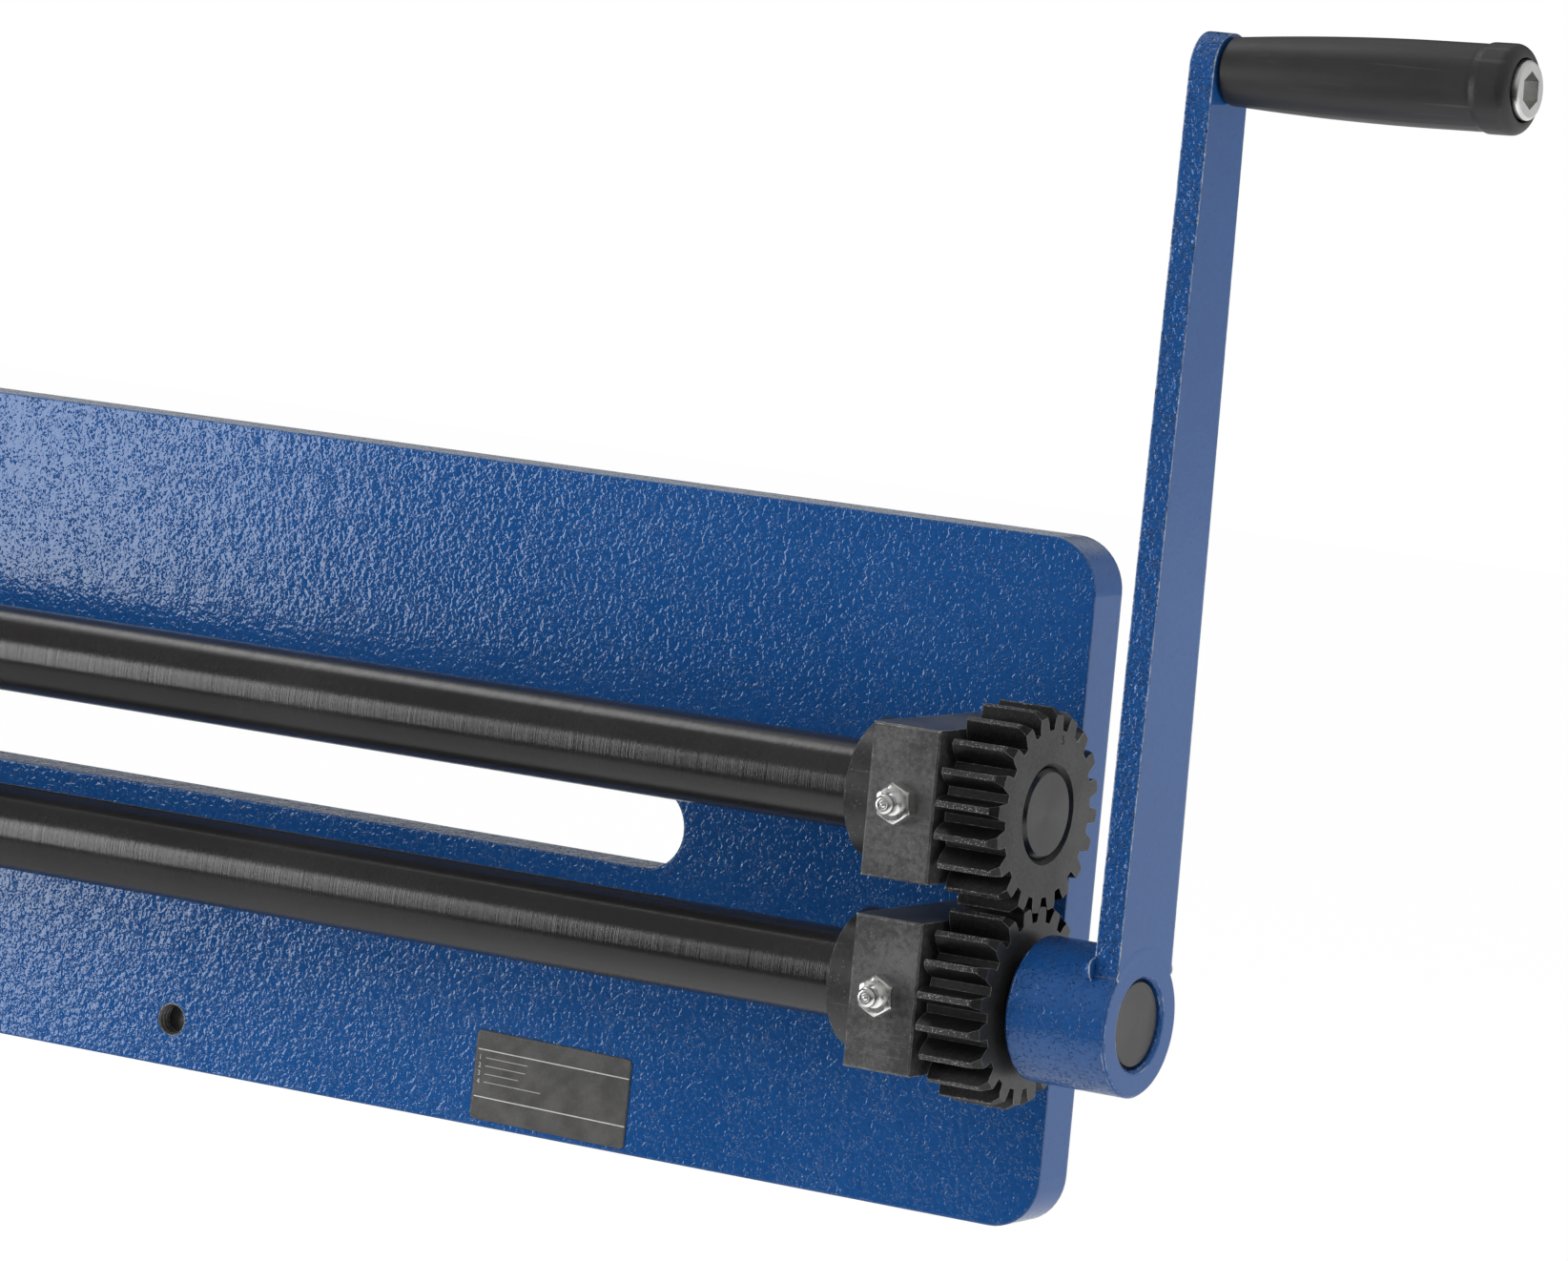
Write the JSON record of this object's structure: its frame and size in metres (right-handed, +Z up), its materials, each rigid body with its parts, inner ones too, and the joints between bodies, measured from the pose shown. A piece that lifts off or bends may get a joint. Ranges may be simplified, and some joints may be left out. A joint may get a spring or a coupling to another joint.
{
  "type": "hand cranked bead roller",
  "caption": "Bench bead roller for sheet metal: a deep C-shaped plate carries two long shafts geared together, turned by a crank, with bead rolls and a screw that sets the upper roll's height.",
  "frame": {"origin": "on the bench plane, at the middle of the plate's thickness, halfway along the foot bar", "axes": "+X along the shafts towards the crank, +Y from the operator's side through the plate to its back, +Z up"},
  "size_m": [0.7828, 0.1254, 0.387],
  "materials": {
    "hammer_paint": "glossy hammered enamel, mid blue",
    "black_steel": "black oxide over machined steel, edges worn bright",
    "shaft_steel": "dark ground and oiled steel",
    "roll_steel": "turned and hardened tool steel",
    "bronze": "machined bearing bronze",
    "zinc": "bright zinc plating",
    "grip_plastic": "satin black moulded plastic",
    "knob_plastic": "glossy black plastic"
  },
  "bodies": {
    "frame": {"frame_plate": "hammer_paint", "foot_bar": "hammer_paint", "foot_screws": "zinc", "rear_upper_block": "black_steel", "rear_lower_block": "black_steel", "front_lower_block": "black_steel", "rear_upper_bush": "bronze", "rear_lower_bush": "bronze", "front_lower_bush": "bronze", "adjuster_block": "black_steel", "block_bolts": "zinc", "block_washers": "zinc", "frame_nipples": "zinc"},
    "carriage": {"front_upper_block": "black_steel", "front_upper_bush": "bronze", "carriage_bolts": "zinc", "carriage_washers": "zinc", "carriage_nipple": "zinc", "screw_retainer": "black_steel", "retainer_screws": "black_steel"},
    "feed": {"thrust_pad": "shaft_steel"},
    "screw": {"adjusting_screw": "shaft_steel", "tee_bar": "zinc", "tee_knobs": "knob_plastic"},
    "upper_spindle": {"upper_shaft": "shaft_steel", "upper_gear": "black_steel", "upper_collar": "black_steel", "upper_set_screws": "black_steel", "upper_die": "roll_steel", "upper_die_key": "shaft_steel", "upper_die_washer": "zinc", "upper_die_nut": "zinc"},
    "lower_spindle": {"lower_shaft": "shaft_steel", "lower_gear": "black_steel", "lower_collar": "black_steel", "lower_set_screws": "black_steel", "lower_die": "roll_steel", "lower_die_key": "shaft_steel", "lower_die_washer": "zinc", "lower_die_nut": "zinc", "crank_hub": "hammer_paint", "crank_arm": "hammer_paint", "crank_weld": "hammer_paint", "grip_screw": "zinc"},
    "grip": {"grip": "grip_plastic"}
  },
  "joints": [
    {"name": "crank_spin", "type": "hinge", "parent": "frame", "child": "lower_spindle", "pos_m": [0.364, -0.04475, 0.0775], "axis": [1, 0, 0], "continuous": true},
    {"name": "nose_tilt", "type": "hinge", "parent": "frame", "child": "carriage", "pos_m": [0.364, -0.04475, 0.1375], "axis": [0, 1, 0], "range_deg": [0, 0.632]},
    {"name": "upper_spin", "type": "hinge", "parent": "carriage", "child": "upper_spindle", "pos_m": [0.364, -0.04475, 0.1375], "axis": [1, 0, 0], "continuous": true},
    {"name": "grip_spin", "type": "hinge", "parent": "lower_spindle", "child": "grip", "pos_m": [0.43935, -0.04475, 0.3706], "axis": [0.9996, 0, 0.0288], "continuous": true},
    {"name": "screw_feed", "type": "slide", "parent": "frame", "child": "feed", "axis": [0, 0, 1], "range_m": [0, 0.006]},
    {"name": "screw_turn", "type": "hinge", "parent": "feed", "child": "screw", "pos_m": [-0.181, -0.04475, 0.25], "axis": [0, 0, 1], "range_deg": [0, 1080]}
  ],
  "couplings": [
    {"joint": "upper_spin", "follows": "crank_spin", "ratio": -1},
    {"joint": "screw_feed", "follows": "screw_turn", "m_per_rad": 0.00031831},
    {"joint": "nose_tilt", "follows": "screw_turn", "ratio": 0.00058405}
  ]
}
